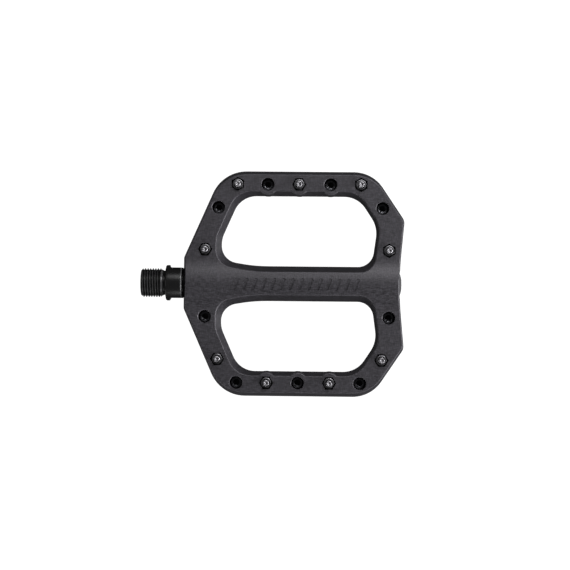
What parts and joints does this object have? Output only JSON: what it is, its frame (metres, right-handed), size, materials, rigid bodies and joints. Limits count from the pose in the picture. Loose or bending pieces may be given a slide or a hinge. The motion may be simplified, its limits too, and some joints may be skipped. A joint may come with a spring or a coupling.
{
  "type": "flat bicycle pedal",
  "caption": "Flat platform pedal with two open windows, screw-in traction pins and a humped spar over a steel axle with a standard crank thread.",
  "frame": {"origin": "on the axle's centre line, at the collar face that seats on the crank arm", "axes": "+X along the axle away from the crank, towards the end cap; +Y across the platform; +Z out of the platform's upper face"},
  "size_m": [0.1301, 0.1112, 0.022],
  "materials": {
    "nylon": "fine matt glass-filled nylon",
    "pin_steel": "bright zinc-plated steel",
    "axle_steel": "satin black",
    "bearing_steel": "polished",
    "shield_steel": "satin",
    "bush": "sintered bronze",
    "seal_rubber": "matt",
    "cap": "satin",
    "insert_nylon": "matt",
    "cage_nylon": "matt"
  },
  "bodies": {
    "axle": {"spindle": "axle_steel", "bearing_inner_ring_inboard": "bearing_steel", "bearing_inner_ring_outboard": "bearing_steel", "lock_washer": "bearing_steel", "lock_nut": "pin_steel", "lock_nut_insert": "insert_nylon"},
    "platform": {"platform_body": "nylon", "traction_pins_top": "pin_steel", "traction_pins_bottom": "pin_steel", "pin_nuts_top": "pin_steel", "pin_nuts_bottom": "pin_steel", "inboard_bush": "bush", "inboard_seal": "seal_rubber", "bearing_outer_ring_inboard": "bearing_steel", "bearing_outer_ring_outboard": "bearing_steel", "bearing_shields_inboard": "shield_steel", "bearing_shields_outboard": "shield_steel", "end_cap": "cap", "end_cap_oring": "seal_rubber"},
    "cage_inboard": {"bearing_balls_inboard": "bearing_steel", "bearing_cage_inboard": "cage_nylon"},
    "cage_outboard": {"bearing_balls_outboard": "bearing_steel", "bearing_cage_outboard": "cage_nylon"}
  },
  "joints": [
    {"name": "platform_spin", "type": "hinge", "parent": "axle", "child": "platform", "pos_m": [0.0595, 0, 0], "axis": [1, 0, 0], "continuous": true},
    {"name": "bearing_cage_inboard_spin", "type": "hinge", "parent": "axle", "child": "cage_inboard", "pos_m": [0.097, 0, 0], "axis": [1, 0, 0], "continuous": true},
    {"name": "bearing_cage_outboard_spin", "type": "hinge", "parent": "axle", "child": "cage_outboard", "pos_m": [0.102, 0, 0], "axis": [1, 0, 0], "continuous": true}
  ],
  "couplings": [
    {"joint": "bearing_cage_inboard_spin", "follows": "platform_spin", "ratio": 0.60526},
    {"joint": "bearing_cage_outboard_spin", "follows": "platform_spin", "ratio": 0.60526}
  ]
}
